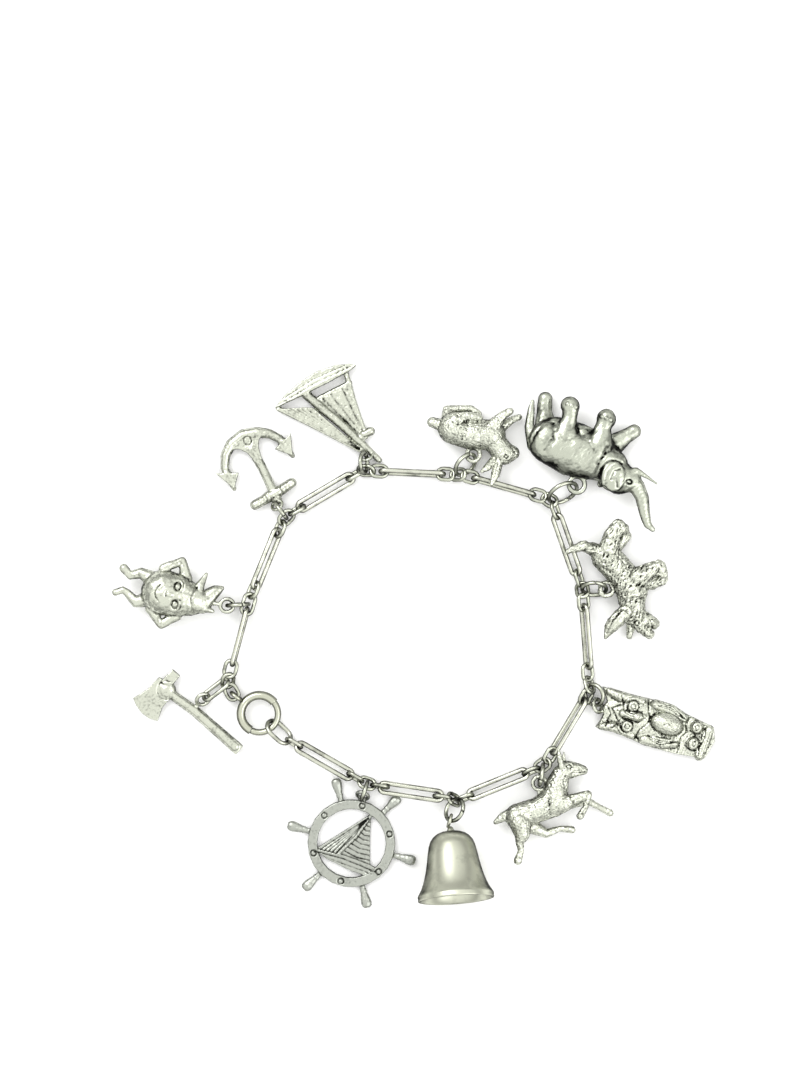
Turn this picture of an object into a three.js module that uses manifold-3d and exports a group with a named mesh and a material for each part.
import * as THREE from "three";
import { mergeVertices } from "three/addons/utils/BufferGeometryUtils.js";
import { ConvexGeometry } from "three/addons/geometries/ConvexGeometry.js";
import Module from "manifold-3d";

// Lengths in mm, angles in degrees. The bracelet lies on the plane z = 0.
const LONG = { length: 10.85, width: 2.3, wire: 0.76 }; // paperclip link
const SMALL = { length: 3.3, width: 2.45, wire: 0.62 }; // cable link
const SMALL_STEP = 0.76; // centre of a small link to the wire of its neighbour
const LAST_LONG = 10.0; // the long link nearest the clasp's eye is a little shorter
const PAIR = 9; // here the next long link hangs straight on the middle small link, which is longer
const PAIR_LENGTH = 4.0;
const RING_WIRE = 0.66; // jump rings
const CLASP = { at: [-25.0, -11.7], z: 1.5, radius: 2.95, tube: 1.4, bolt: 1.02 };
const EYE_ANGLE = 143; // where the clasp's eye is soldered
const BOLT_FROM = -118; // the bolt's arc on the clasp, to its mouth
const BOLT_TO = 38;

// One entry for each junction: the place of the middle small link, and the roll of the long link before it.
const JUNCTIONS = [
  { p: [-7.9, -22.9, 1.4], roll: 20 },
  { p: [6.0, -25.3, 1.65], roll: 15 },
  { p: [20.1, -20.0, 1.5], roll: 25 },
  { p: [27.75, -6.95, 1.5], roll: 60 },
  { p: [26.4, 8.1, 1.7], roll: 60 },
  { p: [21.1, 22.2, 2.1], roll: 30 },
  { p: [6.6, 26.4, 1.7], roll: 75 },
  { p: [-8.0, 27.0, 1.45], roll: 75 },
  { p: [-20.8, 19.7, 1.3], roll: 20 },
  { p: [-26.7, 5.8, 1.95], roll: 45 },
  { p: [-29.85, -6.25, 1.6], roll: 84 },
];
// One entry for each charm: its place and turn on the table, its loop's place, and its jump ring's radius and lean.
const CHARMS = [
  { name: "ships_wheel", at: [-7.64, -24.1], turn: -18, loop: [-8.55, -24.75, 1.25], ring: 1.55, lean: 0 },
  { name: "bell", at: [5.3, -28.2], turn: 4.4, loop: [5.3, -28.6, 2.9], ring: 1.9, lean: 40 },
  { name: "foal", at: [19.42, -22.74], turn: 0, loop: [19.6, -22.74, 1.6], ring: 1.75, lean: 0 },
  { name: "totem_pole", at: [28.9, -10.4], turn: 70.6, loop: [28.9, -10.4, 1.5], ring: 1.75, lean: 15 },
  { name: "terrier", at: [30.26, 8.2], turn: 135, loop: [30.26, 8.2, 2.2], ring: 1.95, lean: 0 },
  { name: "elephant", at: [25.76, 24.95], turn: 159.6, loop: [25.5, 24.8, 2.8], ring: 2.45, lean: 0 },
  { name: "rabbit", at: [9.07, 29.57], turn: 174.4, loop: [9.07, 29.57, 2.3], ring: 2.0, lean: 0 },
  { name: "yacht", at: [-7.44, 28.22], turn: -152.5, loop: [-7.95, 29.35, 1.2], ring: 1.6, lean: 20 },
  { name: "anchor", at: [-21.94, 21.01], turn: -153.9, loop: [-22.2, 21.55, 1.2], ring: 1.6, lean: 0 },
  { name: "egg_figure", at: [-29.9, 5.59], turn: -99.2, loop: [-30.1, 5.59, 2.5], ring: 1.75, lean: 0 },
  { name: "axe", at: [-34.2, -9.56], turn: -41.3, loop: [-34.0, -9.4, 1.35], ring: 2.35, lean: 40, oval: 2.5 },
];

const wasm = await Module();
wasm.setup();
const V = (x, y, z = 0) => new THREE.Vector3(x, y, z);
const UP = V(0, 0, 1);
const rad = THREE.MathUtils.degToRad;

// ---- solids ----
function solid(geometry, matrix) {
  const g = new THREE.BufferGeometry();
  g.setAttribute("position", geometry.getAttribute("position").clone());
  if (geometry.index) g.setIndex(geometry.index.clone());
  if (matrix) g.applyMatrix4(matrix);
  const m = mergeVertices(g, 1e-4);
  const triVerts = new Uint32Array(m.index.array);
  const vertProperties = new Float32Array(m.getAttribute("position").array);
  return new wasm.Manifold(new wasm.Mesh({ numProp: 3, vertProperties, triVerts }));
}
const join = (list) => list.reduce((a, b) => a.add(b));
function frameOf(t, w, n, at) {
  return new THREE.Matrix4().makeBasis(t, w, n).setPosition(at);
}
function place(manifold, matrix) {
  return manifold.transform(matrix.elements.slice());
}
function node(name, manifold, colour = 0xc9cbc4) {
  const got = manifold.getMesh();
  const g = new THREE.BufferGeometry();
  const from = got.vertProperties, n = got.numProp;
  const xyz = new Float32Array((from.length / n) * 3);
  for (let i = 0; i < from.length / n; i++) xyz.set(from.slice(i * n, i * n + 3), i * 3);
  g.setAttribute("position", new THREE.BufferAttribute(xyz, 3));
  g.setIndex(Array.from(got.triVerts));
  const skin = new THREE.MeshStandardMaterial({ color: colour, metalness: 1, roughness: 0.3 });
  skin.name = name;
  const mesh = new THREE.Mesh(g, skin);
  mesh.name = name;
  return mesh;
}

// ---- wire shapes ----
// A closed wire along a flat path in the local XY plane.
function hoop(path, wire, sides) {
  const n = path.length, xyz = [], index = [];
  for (let i = 0; i < n; i++) {
    const before = path[(i + n - 1) % n], after = path[(i + 1) % n];
    const side = new THREE.Vector2(after.y - before.y, before.x - after.x).normalize();
    for (let k = 0; k < sides; k++) {
      const a = ((k + 0.5) / sides) * 2 * Math.PI, r = wire / 2;
      xyz.push(path[i].x + side.x * r * Math.cos(a), path[i].y + side.y * r * Math.cos(a), r * Math.sin(a));
    }
  }
  for (let i = 0; i < n; i++)
    for (let k = 0; k < sides; k++) {
      const a = i * sides + k, b = i * sides + ((k + 1) % sides);
      const c = ((i + 1) % n) * sides + ((k + 1) % sides), d = ((i + 1) % n) * sides + k;
      index.push(a, d, c, a, c, b);
    }
  const g = new THREE.BufferGeometry();
  g.setAttribute("position", new THREE.Float32BufferAttribute(xyz, 3));
  g.setIndex(index);
  const made = solid(g);
  return made.volume() > 0 ? made : solid(turnedOut(g));
}
function turnedOut(g) {
  const i = g.index.array;
  for (let k = 0; k < i.length; k += 3) [i[k + 1], i[k + 2]] = [i[k + 2], i[k + 1]];
  return g;
}
function stadium({ length, width, wire }, steps) {
  const r = (width - wire) / 2, half = (length - width) / 2, path = [];
  for (const [sign, from] of [[1, -90], [-1, 90]])
    for (let i = 0; i <= steps; i++) {
      const a = rad(from + (i * 180) / steps);
      path.push(new THREE.Vector2(sign * half + r * Math.cos(a), r * Math.sin(a)));
    }
  return path;
}
function circle(radius, steps) {
  const path = [];
  for (let i = 0; i < steps; i++) {
    const a = (i / steps) * 2 * Math.PI;
    path.push(new THREE.Vector2(radius * Math.cos(a), radius * Math.sin(a)));
  }
  return path;
}
// A link whose long axis is t and whose plane has the normal n.
function linkFrame(t, n, at) {
  const axis = t.clone().normalize();
  const flat = n.clone().addScaledVector(axis, -n.dot(axis)).normalize();
  return frameOf(axis, flat.clone().cross(axis), flat, at);
}
// The normal of a link along t that is rolled away from lying flat.
function rolled(t, roll) {
  const side = UP.clone().cross(t).normalize();
  return side.multiplyScalar(Math.sin(rad(roll))).addScaledVector(UP, Math.cos(rad(roll)));
}

// ---- the lay of the chain ----
// A jump ring through b and q: its centre, its normal, and its wire's direction at both.
function ringThrough(b, q, radius, lean, oval) {
  const u = q.clone().sub(b), d = u.length();
  u.normalize();
  const side = UP.clone().cross(u).normalize();
  const rise = oval ? 0 : Math.sqrt(Math.max(0, radius * radius - (d * d) / 4));
  const r = oval ? (oval - RING_WIRE) / 2 : Math.max(radius, d / 2 - 0.3);
  for (let tilt = lean; ; tilt += 2) {
    const T = side.clone().multiplyScalar(Math.sin(rad(tilt))).addScaledVector(UP, Math.cos(rad(tilt)));
    T.addScaledVector(u, -T.dot(u)).normalize();
    const c = b.clone().add(q).multiplyScalar(0.5).addScaledVector(T, rise);
    const m = u.clone().cross(T).normalize();
    const low = c.z - r * Math.sqrt(1 - m.z * m.z) - RING_WIRE / 2;
    if (low > 0.03 || tilt >= 80) {
      const along = (x) => m.clone().cross(x.clone().sub(c)).normalize();
      const atB = along(b), atQ = along(q);
      if (atB.z < 0) atB.negate();
      if (atQ.z < 0) atQ.negate();
      return oval ? { c, m, r: d / 2 - 0.15, u, oval, atB: T, atQ: T, tilt } : { c, m, r, atB, atQ, tilt };
    }
  }
}
const rings = JUNCTIONS.map((j, i) => {
  const k = CHARMS[i];
  return ringThrough(V(...j.p), V(...k.loop), k.ring, k.lean, k.oval);
});
const EYE_DIR = V(Math.cos(rad(EYE_ANGLE)), Math.sin(rad(EYE_ANGLE)));
const CENTRE = V(...CLASP.at, CLASP.z);
const END_RING = { length: 5.2, width: 3.6, wire: 0.7 };
const end1 = CENTRE.clone().add(V(Math.cos(rad(-43)), Math.sin(rad(-43))).multiplyScalar(4.25));
const end2 = end1.clone().add(V(0.8, -0.6).multiplyScalar(3.0));
const eyeAt = CENTRE.clone().addScaledVector(EYE_DIR, CLASP.radius + CLASP.tube / 2 + 0.95);
const places = JUNCTIONS.map((j) => V(...j.p));
// Direction of the long link that comes before junction i, and after it.
const before = places.map((p, i) => p.clone().sub(i ? places[i - 1] : end2).normalize());
const after = places.map((p, i) => (i < 10 ? places[i + 1] : eyeAt).clone().sub(p).normalize());
const middles = places.map((p, i) => {
  const n = rings[i].atB, t = before[i].clone().add(after[i]).normalize();
  t.addScaledVector(n, -t.dot(n)).normalize();
  return { p, n, t };
});
const HALF = SMALL.length / 2 - SMALL.wire / 2;
// The small links on both sides of a middle one.
const firsts = middles.map(({ p, t }, i) =>
  p.clone().addScaledVector(t, i === PAIR ? SMALL_STEP - 1.83 : -SMALL_STEP).addScaledVector(before[i], -HALF));
const lasts = middles.map(({ p, t }, i) =>
  p.clone().addScaledVector(t, SMALL_STEP).addScaledVector(after[i], HALF));

const root = new THREE.Group();
const longFrames = places.map((p, i) => {
  const hung = i === PAIR + 1;
  const from = i === 0 ? end2 : hung ? places[PAIR] : lasts[i - 1];
  const t = firsts[i].clone().sub(from).normalize();
  const middle = from.clone().add(firsts[i]).multiplyScalar(0.5);
  if (hung) middle.copy(from).addScaledVector(t, 0.76 + (LAST_LONG - LONG.wire) / 2);
  return linkFrame(t, rolled(t, JUNCTIONS[i].roll), middle);
});
const axes = longFrames.map((m) => {
  const t = V(), w = V(), n = V();
  m.extractBasis(t, w, n);
  return { t, w, n };
});
const longLink = (length) => hoop(stadium({ ...LONG, length }, 4), LONG.wire, 7);
longFrames.forEach((m, i) => {
  const made = longLink(i === PAIR + 1 ? LAST_LONG : LONG.length);
  root.add(node(`long_link_${String(i + 1).padStart(2, "0")}`, place(made, m)));
});

const smallLink = hoop(stadium(SMALL, 3), SMALL.wire, 6);
const pairLink = hoop(stadium({ ...SMALL, length: PAIR_LENGTH }, 3), SMALL.wire, 6);
const smallAt = (t, n, at) => place(smallLink, linkFrame(t, n, at));
middles.forEach(({ p, t, n }, i) => {
  const parts = [smallAt(before[i], axes[i].w, firsts[i])];
  parts.push(place(i === PAIR ? pairLink : smallLink, linkFrame(t, n, p)));
  if (i < 10 && i !== PAIR) parts.push(smallAt(after[i], axes[i + 1].w, lasts[i]));
  if (i === 10) parts.push(smallAt(after[i], UP, lasts[i]));
  root.add(node(`small_links_${String(i + 1).padStart(2, "0")}`, join(parts)));
});
rings.forEach(({ c, m, r, u, oval }, i) => {
  const t = u ?? V(1, 0, 0).addScaledVector(m, -m.x).normalize();
  const path = oval ? stadium({ length: 2 * r + RING_WIRE, width: oval, wire: RING_WIRE }, 5) : circle(r, 11);
  root.add(node(`jump_ring_${CHARMS[i].name}`, place(hoop(path, RING_WIRE, 6), linkFrame(t, m, c))));
});

// ---- the spring ring clasp ----
function arcTube(radius, r, from, to, steps, sides, cap) {
  const xyz = [], index = [];
  for (let i = 0; i <= steps; i++) {
    const a = rad(from + ((to - from) * i) / steps);
    for (let k = 0; k < sides; k++) {
      const b = ((k + 0.5) / sides) * 2 * Math.PI;
      const d = radius + r * Math.cos(b);
      xyz.push(d * Math.cos(a), d * Math.sin(a), r * Math.sin(b));
    }
  }
  for (let i = 0; i < steps; i++)
    for (let k = 0; k < sides; k++) {
      const a = i * sides + k, b = i * sides + ((k + 1) % sides);
      index.push(a, b, b + sides, a, b + sides, a + sides);
    }
  for (let k = 1; k < sides - 1; k++) {
    index.push(0, k + 1, k);
    const e = steps * sides;
    index.push(e, e + k, e + k + 1);
  }
  const g = new THREE.BufferGeometry();
  g.setAttribute("position", new THREE.Float32BufferAttribute(xyz, 3));
  g.setIndex(index);
  const made = solid(g);
  return made.volume() > 0 ? made : solid(turnedOut(g));
}
const atClasp = new THREE.Matrix4().setPosition(CENTRE);
const bodyTube = arcTube(CLASP.radius, CLASP.tube / 2, BOLT_TO, 360 + BOLT_FROM, 14, 8);
const bore = arcTube(CLASP.radius, CLASP.bolt / 2 + 0.1, BOLT_TO - 5, 360 + BOLT_FROM - 30, 12, 8);
const eyeFrame = linkFrame(EYE_DIR, UP.clone().cross(EYE_DIR), EYE_DIR.clone().multiplyScalar(4.6));
const eye = place(hoop(circle(1.0, 10), 0.6, 6), eyeFrame);
root.add(node("clasp_body", place(join([bodyTube.subtract(bore), eye]), atClasp)));
const bolt = arcTube(CLASP.radius, CLASP.bolt / 2, BOLT_FROM + 0.8, BOLT_TO + 6, 12, 8);
root.add(node("clasp_bolt", place(bolt, atClasp)));
const endAxis = end1.clone().sub(CENTRE).normalize();
const endParts = [
  place(hoop(stadium(END_RING, 5), END_RING.wire, 6), linkFrame(endAxis, rolled(endAxis, 48), end1)),
  smallAt(axes[0].t, axes[0].w, end2),
];
root.add(node("small_links_clasp_end", join(endParts)));

// ---- charm pieces, in their own frame: the loop at the origin, hanging along -y, facing +z ----
function limb(points, detail = 0) {
  const balls = points.map(([x, y, z, r]) => {
    const small = r < 0.85 && !detail; // thin ends take fewer facets
    const ball = small ? new THREE.OctahedronGeometry(r * 1.12) : new THREE.IcosahedronGeometry(r, detail);
    const g = ball.translate(x, y, z);
    const p = g.getAttribute("position"), out = [];
    for (let i = 0; i < p.count; i++) out.push(V(p.getX(i), p.getY(i), p.getZ(i)));
    return out;
  });
  const parts = [];
  for (let i = 0; i + 1 < balls.length; i++) parts.push(solid(new ConvexGeometry([...balls[i], ...balls[i + 1]])));
  return join(parts);
}
function slab(points, low, high) {
  const shape = new THREE.Shape(points.map(([x, y]) => new THREE.Vector2(x, y)));
  return solid(new THREE.ExtrudeGeometry(shape, { depth: high - low, bevelEnabled: false }).translate(0, 0, low));
}
const thin = (manifold, k) => place(manifold, new THREE.Matrix4().makeScale(1, 1, k));

function wheel() {
  const y = -8.75, parts = [];
  const profile = [[5.5, -0.6], [7.0, -0.6], [7.0, 0.6], [5.5, 0.6], [5.5, -0.6]];
  const rim = new THREE.LatheGeometry(profile.map(([a, b]) => new THREE.Vector2(a, b)), 24);
  parts.push(solid(rim, new THREE.Matrix4().makeRotationX(Math.PI / 2)));
  for (let i = 0; i < 6; i++) {
    const a = rad(2 + i * 60), c = Math.cos(a), s = Math.sin(a);
    parts.push(limb([[6.8 * c, 6.8 * s, 0, 0.4], [8.0 * c, 8.0 * s, 0, 0.52], [8.9 * c, 8.9 * s, 0, 0.38], [10.1 * c, 10.1 * s, 0, 0.52]]));
  }
  const m = (x, z) => [x, z - y];
  const local = (list) => list.map(([x, z]) => m(x, z));
  parts.push(slab(local([[-5.4, -11.7], [-4.2, -11.2], [4.9, -11.6], [4.6, -13.1], [-3.4, -12.3]]), -0.55, 0.35));
  parts.push(slab(local([[-4.6, -11.5], [1.2, -3.6], [1.9, -4.2], [1.2, -11.6]]), -0.5, 0.2));
  parts.push(slab(local([[1.2, -11.6], [1.7, -4.2], [4.1, -11.6]]), -0.45, 0.1));
  return place(join(parts), new THREE.Matrix4().setPosition(0, y, 0));
}
function bell() {
  const outer = [[0, -2.1], [1.5, -2.2], [2.9, -2.9], [3.7, -4.3], [4.1, -6.5], [4.6, -8.9], [5.3, -10.9], [6.0, -12.2], [6.0, -12.9]];
  const inner = [[5.3, -12.9], [4.7, -11.4], [4.0, -9.0], [3.5, -6.5], [3.1, -4.6], [2.4, -3.6], [1.3, -3.1], [0, -3.0]];
  const profile = [...outer, ...inner].map(([a, b]) => new THREE.Vector2(a, b)).reverse();
  const shell = solid(new THREE.LatheGeometry(profile, 22));
  const tab = limb([[0, -2.3, 0, 0.75], [0, -1.75, 0, 0.45]]);
  return join([shell, tab]);
}
function clapper() {
  return limb([[0, -3.6, -0.2, 0.4], [0, -9.0, -1.5, 0.42], [0, -10.8, -1.8, 1.35]], 0);
}
function foal() {
  return thin(join([
    limb([[-3.2, -5.3, 0, 2.1], [-0.3, -4.3, 0, 2.0], [2.3, -3.1, 0, 2.3]], 1),
    limb([[2.6, -2.4, 0, 2.2], [3.0, -0.2, 0, 1.8], [3.6, 1.5, 0, 1.4], [4.4, 2.4, 0, 1.3], [6.4, 2.5, 0, 0.8], [7.4, 2.3, 0, 0.5]]),
    limb([[3.6, 2.4, 0.7, 0.7], [3.2, 5.4, 1.0, 0.22]]), limb([[3.9, 2.6, -0.7, 0.6], [4.1, 4.9, -0.9, 0.22]]),
    limb([[-4.2, -4.6, 0, 0.7], [-5.5, -5.3, 0, 0.75], [-6.8, -6.2, 0, 0.4]]),
    limb([[3.6, -3.4, 0.9, 1.2], [7.8, -1.7, 1.2, 0.75], [7.5, -3.6, 1.2, 0.5], [6.5, -5.3, 1.2, 0.6]]),
    limb([[4.2, -3.4, -0.9, 0.9], [7.9, -2.9, -1.1, 0.6], [9.8, -3.9, -1.1, 0.5], [11.5, -4.9, -1.1, 0.6]]),
    limb([[-2.9, -6.2, 0.9, 1.75], [-2.9, -8.6, 1.2, 0.85], [-2.8, -10.4, 1.2, 0.6], [-3.3, -12.4, 1.2, 0.7]]),
    limb([[-2.0, -6.4, -0.9, 1.3], [1.3, -8.1, -1.1, 0.7], [3.5, -7.3, -1.1, 0.5], [5.5, -7.5, -1.1, 0.6]]),
  ]), 0.85);
}
function totem() {
  const outline = [[-3.3, -0.9], [-1.5, -1.4], [1.2, -1.3], [3.1, 0.2], [3.4, -3.9], [3.8, -9.0], [3.2, -14.0], [2.7, -18.6], [0.8, -19.5], [-2.3, -18.8], [-3.0, -14.2], [-3.3, -9.0], [-2.9, -5.0]];
  return join([
    slab(outline, -1.5, 0.3),
    limb([[1.8, -5.3, 0.2, 1.25], [1.79, -5.31, 0.2, 1.2]]), limb([[-1.5, -5.4, 0.2, 1.25], [-1.49, -5.41, 0.2, 1.2]]),
    limb([[0.2, -4.1, 0.4, 0.8], [0.6, -7.3, 0.9, 0.9]]),
    limb([[0.9, -10.2, 0.8, 2.2], [0.9, -12.4, 0.8, 2.1]], 1),
    limb([[2.0, -16.0, 0.2, 1.3], [1.99, -16.01, 0.2, 1.2]]), limb([[-0.6, -16.3, 0.2, 1.3], [-0.61, -16.31, 0.2, 1.2]]),
    limb([[-2.2, -17.9, 0.1, 0.9], [2.3, -18.0, 0.1, 0.9]]),
  ]);
}
function terrier() {
  return thin(join([
    limb([[3.6, -3.6, 0, 2.3], [0.4, -3.5, 0, 2.35], [-3.0, -2.8, 0, 2.5]], 1),
    limb([[-3.2, -2.4, 0, 2.3], [-4.6, -1.2, 0, 2.0], [-5.8, -0.2, 0, 1.8], [-7.4, -0.6, 0, 1.4], [-9.1, -1.4, 0, 1.1]]),
    limb([[-8.3, 0.3, 0, 1.0], [-9.9, 0.2, 0, 0.8]]), limb([[-7.0, 0, 0, 1.3], [-8.3, 0.3, 0, 1.0]]),
    limb([[-4.9, 0.6, 1.2, 1.0], [-4.9, 3.2, 1.4, 1.0], [-5.3, 5.7, 1.2, 0.35]]),
    limb([[-6.3, 0.4, -1.2, 0.9], [-8.0, 2.7, -1.3, 0.45]]),
    limb([[4.8, -3.4, 0.4, 1.2], [7.6, -2.2, 1.9, 0.8], [8.7, 0.2, 2.4, 0.45]]),
    limb([[4.2, -4.6, 0.9, 1.6], [5.4, -6.5, 1.3, 1.3], [5.8, -8.3, 1.3, 1.1], [4.9, -8.6, 1.3, 0.9]]),
    limb([[3.8, -4.6, -0.9, 1.6], [3.9, -6.4, -1.4, 1.2], [4.0, -8.1, -1.4, 1.1]]),
    limb([[-2.2, -4.6, 0.9, 1.7], [-2.8, -6.9, 1.3, 1.3], [-3.3, -8.3, 1.3, 1.1], [-4.5, -8.1, 1.3, 0.8]]),
    limb([[-2.6, -4.4, -0.9, 1.5], [-4.4, -6.0, -1.4, 1.2], [-5.0, -7.4, -1.4, 1.1]]),
  ]), 0.8);
}
function elephant() {
  return thin(join([
    limb([[6.6, -4.4, 0, 3.4], [2.7, -4.2, 0, 3.9], [-0.9, -4.6, 0, 3.6], [-3.6, -4.5, 0, 2.9]], 1),
    limb([[-3.6, -4.0, 0, 2.8], [-5.8, -3.1, 0, 2.6], [-7.4, -3.4, 0, 1.9]], 1),
    limb([[-7.6, -3.2, 0, 1.6], [-8.8, -2.8, 0, 1.3], [-10.2, -1.5, 0, 1.1], [-11.4, 0.7, 0, 0.9], [-12.6, 2.3, 0, 0.7], [-13.6, 2.7, 0, 0.5]]),
    limb([[-4.9, -2.2, 2.3, 1.7], [-5.1, -4.2, 2.4, 1.4]]),
    limb([[-7.8, -5.2, 1.0, 0.5], [-11.6, -4.3, 1.0, 0.3]]), limb([[-7.0, -4.2, 0.8, 1.2], [-7.8, -5.2, 1.0, 0.5]]),
    limb([[7.8, -6.4, -1.8, 2.0], [9.0, -8.8, -2.0, 1.2], [9.6, -11.0, -2.0, 1.1]]),
    limb([[4.6, -6.4, 1.6, 2.1], [5.1, -8.8, 1.9, 1.5], [5.5, -11.1, 1.9, 1.4]]),
    limb([[-0.9, -6.8, 1.6, 2.2], [-0.5, -9.4, 1.9, 1.6], [-0.4, -11.2, 1.9, 1.5]]),
    limb([[-2.6, -7.0, -1.6, 2.0], [-4.4, -9.6, -1.9, 1.2], [-5.5, -11.1, -1.9, 1.1]]),
    limb([[8.8, -3.2, 0, 0.9], [10.7, -5.8, 0, 0.7], [11.4, -8.7, 0, 0.6], [11.4, -9.8, 0, 0.4]]),
  ]), 0.72);
}
function rabbit() {
  return thin(join([
    limb([[3.5, -3.9, 0, 2.5], [0.7, -3.2, 0, 2.4], [-2.4, -3.4, 0, 2.4]], 1),
    limb([[-2.6, -3.0, 0, 2.0], [-3.7, -1.8, 0, 1.7], [-4.8, -0.6, 0, 1.6], [-6.2, -0.9, 0, 0.9]]),
    limb([[-4.2, 0.6, 0.8, 0.7], [-3.8, 2.7, 1.5, 0.75], [-3.3, 4.5, 2.0, 0.3]]),
    limb([[-3.5, 0.3, 0.2, 0.7], [-2.4, 1.8, 1.2, 0.65], [-1.5, 2.6, 1.8, 0.3]]),
    limb([[5.6, -4.2, 0, 1.0], [7.0, -4.5, 0, 0.8]]),
    limb([[3.4, -5.2, 1.1, 1.2], [1.0, -6.0, 1.3, 0.8], [-0.4, -5.9, 1.3, 0.6]]),
    limb([[4.4, -5.4, -0.9, 1.2], [4.9, -6.8, -1.1, 0.7], [1.1, -7.3, -1.1, 0.65], [-0.2, -6.6, -1.1, 0.6]]),
    limb([[-2.7, -4.8, 1.0, 1.2], [-4.1, -6.7, 1.2, 0.7], [-5.1, -7.4, 1.2, 0.65]]),
    limb([[-3.4, -4.2, -1.0, 1.0], [-5.5, -6.1, -1.1, 0.65], [-6.7, -6.7, -1.1, 0.55]]),
  ]), 0.85);
}
function yacht() {
  return join([
    slab([[9.3, -14.8], [4.4, -16.5], [0.8, -16.9], [-2.4, -16.4], [-5.4, -14.9], [-2.8, -14.5], [3.0, -14.6]], -0.7, 0.7),
    limb([[3.9, -14.4, 0, 0.75], [1.1, -7.6, 0, 0.72], [-1.6, 0.2, 0, 0.5]]),
    slab([[9.2, -14.5], [5.0, -12.9], [3.9, -12.0], [0.2, -2.8], [0.6, -2.3]], -0.45, 0.45),
    limb([[8.9, -14.5, 0, 0.4], [0.1, -2.5, 0, 0.35]]),
    slab([[3.0, -12.6], [-0.9, -3.6], [-1.4, -3.8], [-3.0, -12.6]], -0.4, 0.4),
    limb([[3.0, -12.9, 0, 0.5], [-3.1, -12.9, 0, 0.45]]),
    limb([[-3.3, -14.6, 0, 0.45], [-2.35, -9.7, 0, 0.35], [-1.5, -4.0, 0, 0.35]]),
    limb([[-1.0, -4.6, 0, 0.6], [-2.5, -4.5, 0, 0.75]]),
  ]);
}
function anchor() {
  const left = [[-0.2, -14.0], [2.2, -13.5], [4.0, -12.2], [5.2, -10.0], [6.4, -9.3], [5.1, -6.2], [3.4, -8.1], [4.4, -9.2], [3.2, -11.0], [1.5, -12.0], [-0.2, -12.2]];
  const right = [[-0.1, -12.2], [-1.8, -11.9], [-3.4, -10.8], [-4.6, -9.3], [-3.8, -8.9], [-5.7, -6.8], [-6.8, -9.9], [-5.6, -10.2], [-4.6, -11.8], [-2.6, -13.3], [-0.1, -14.0]];
  return join([
    slab(left, -0.65, 0.65), slab(right, -0.65, 0.65),
    limb([[-0.1, -12.6, 0, 0.75], [-0.5, -7.0, 0, 0.62], [-0.4, -2.4, 0, 0.7], [-0.3, -1.2, 0, 0.7]]),
    limb([[3.0, -2.2, 0, 0.62], [1.0, -2.3, 0, 0.5]]), limb([[1.0, -2.3, 0, 0.8], [-1.7, -2.6, 0, 0.8]]),
    limb([[-1.7, -2.6, 0, 0.5], [-3.7, -2.8, 0, 0.62]]),
    slab([[-0.9, -2.4], [0.3, -2.3], [0.1, -1.3], [-0.8, -1.3]], -0.5, 0.5),
  ]);
}
function eggFigure() {
  return thin(join([
    limb([[-0.4, -10.4, 0, 3.7], [-0.3, -8.6, 0, 3.5], [0, -5.6, 0, 2.3]], 1),
    limb([[0.4, -4.2, 0, 1.7], [-0.8, -3.4, 0, 1.3], [-1.9, -2.4, 0, 1.0], [-2.6, -1.4, 0, 0.5]]),
    limb([[0, -5.0, 0, 1.8], [-1.8, -4.5, 0, 0.7], [-4.3, -4.0, 0, 0.4]]), limb([[0, -4.5, 0, 1.2], [1.1, -2.9, 0, 0.6]]),
    limb([[0, -4.6, 0, 1.3], [0.1, -1.5, 0, 0.6]]),
    limb([[-3.0, -7.2, 0, 0.9], [-5.8, -8.3, 0, 0.6], [-4.2, -11.1, 0.6, 0.6]]),
    limb([[2.8, -7.9, 0, 0.9], [4.7, -10.0, 0, 0.6], [2.5, -12.2, 0.6, 0.6]]),
    limb([[-2.4, -12.4, 0, 1.1], [-3.0, -14.6, 0, 0.75], [-2.2, -16.2, 0, 0.6], [-3.2, -17.4, 0, 0.6]]),
    limb([[1.0, -12.8, 0, 1.1], [1.9, -14.5, 0, 0.75], [0.7, -16.1, 0, 0.6], [0.1, -16.8, 0, 0.5], [0.8, -18.1, 0, 0.5]]),
  ]), 0.75);
}
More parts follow.
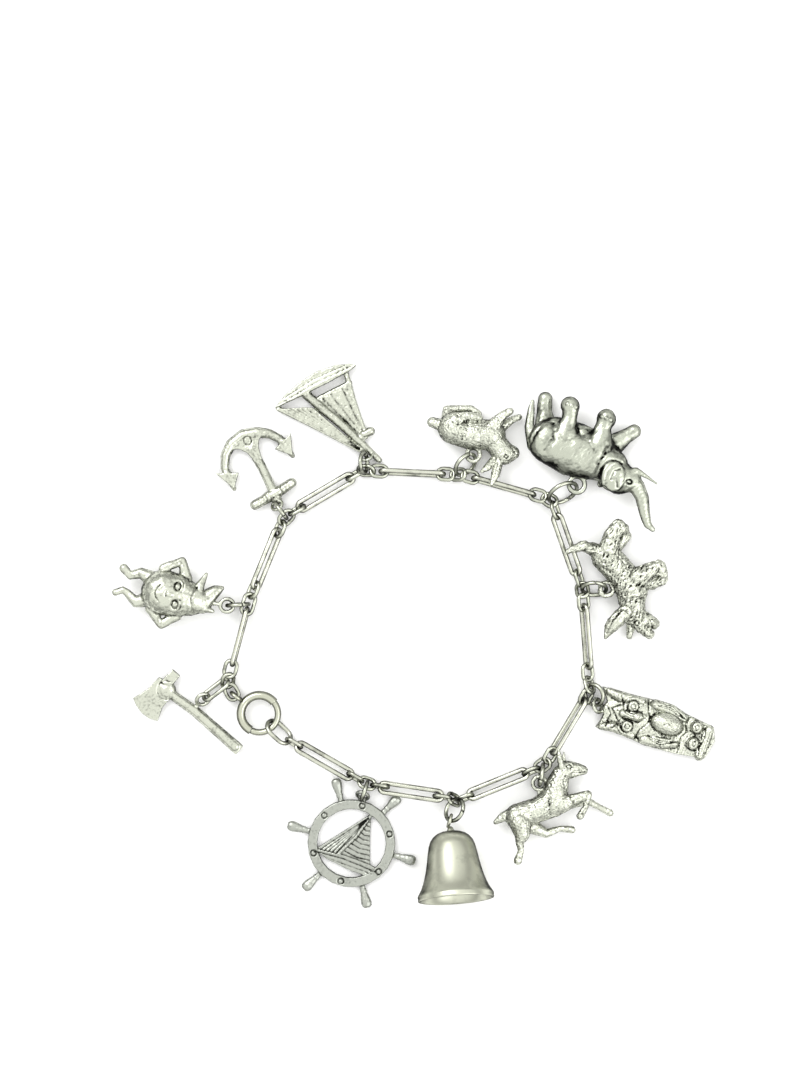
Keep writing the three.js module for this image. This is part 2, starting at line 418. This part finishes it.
function axe() {
  return join([
    limb([[-3.9, -2.5, 0, 0.7], [0.3, -1.95, 0, 0.72], [9.0, -2.0, 0, 0.8]]),
    limb([[-4.1, -2.6, 0, 0.9], [-6.6, -2.6, 0, 0.9]]),
    slab([[-7.3, -1.9], [-4.6, -1.9], [-4.3, -4.6], [-3.1, -7.0], [-5.8, -7.6], [-8.5, -7.2], [-7.4, -3.9]], -0.45, 0.45),
    limb([[-5.9, -2.4, 0, 0.95], [-6.0, -0.2, 0, 0.75]]),
  ]);
}
const MAKERS = { ships_wheel: wheel, bell, foal, totem_pole: totem, terrier, elephant, rabbit, yacht, anchor, egg_figure: eggFigure, axe };
const LOOPS = { bell: [0.95, 0.5], elephant: [1.25, 0.75], ships_wheel: [0.95, 0.6], yacht: [0.95, 0.55], anchor: [0.9, 0.55] };
const POSTS = { ships_wheel: 1.1, bell: 0.9, foal: 2.6 }; // how far the post under a loop reaches into the charm
const BELL_TIP = -15; // the bell lies on its lip and its shoulder

CHARMS.forEach((k, i) => {
  const turn = new THREE.Matrix4().makeRotationZ(rad(k.turn));
  const tip = new THREE.Matrix4().makeRotationX(k.name === "bell" ? rad(BELL_TIP) : 0);
  const lie = turn.multiply(tip);
  const made = place(MAKERS[k.name](), lie);
  const rise = -made.boundingBox().min[2];
  const at = V(...k.at, rise);
  const [radius, wire] = LOOPS[k.name] ?? [1.05, 0.66];
  const leans = ["ships_wheel", "bell", "totem_pole", "yacht", "anchor", "axe"].includes(k.name);
  const q = V(...k.loop), n = leans ? rings[i].atQ : UP;
  const t = V(1, 0, 0).addScaledVector(n, -n.x).normalize();
  const loop = place(hoop(circle(radius, 10), wire, 6), linkFrame(t, n, q));
  const down = V(Math.sin(rad(k.turn)), -Math.cos(rad(k.turn)));
  const side = down.clone().addScaledVector(n, -down.dot(n)).normalize();
  const a = q.clone().addScaledVector(side, radius);
  const b = V(...k.at, rise).addScaledVector(down, radius + (POSTS[k.name] ?? 1.3));
  const post = limb([[...a.toArray(), wire * 0.45], [...b.toArray(), wire * 0.5]]);
  root.add(node(k.name, join([place(made, new THREE.Matrix4().setPosition(at)), loop, post])));
  if (k.name !== "bell") return;
  const inside = new THREE.Matrix4().setPosition(at).multiply(lie);
  root.add(node("bell_clapper", place(clapper(), inside)));
});

const box = new THREE.Box3().setFromObject(root);
root.position.set(-(box.min.x + box.max.x) / 2, -(box.min.y + box.max.y) / 2, -box.min.z);
export default root;
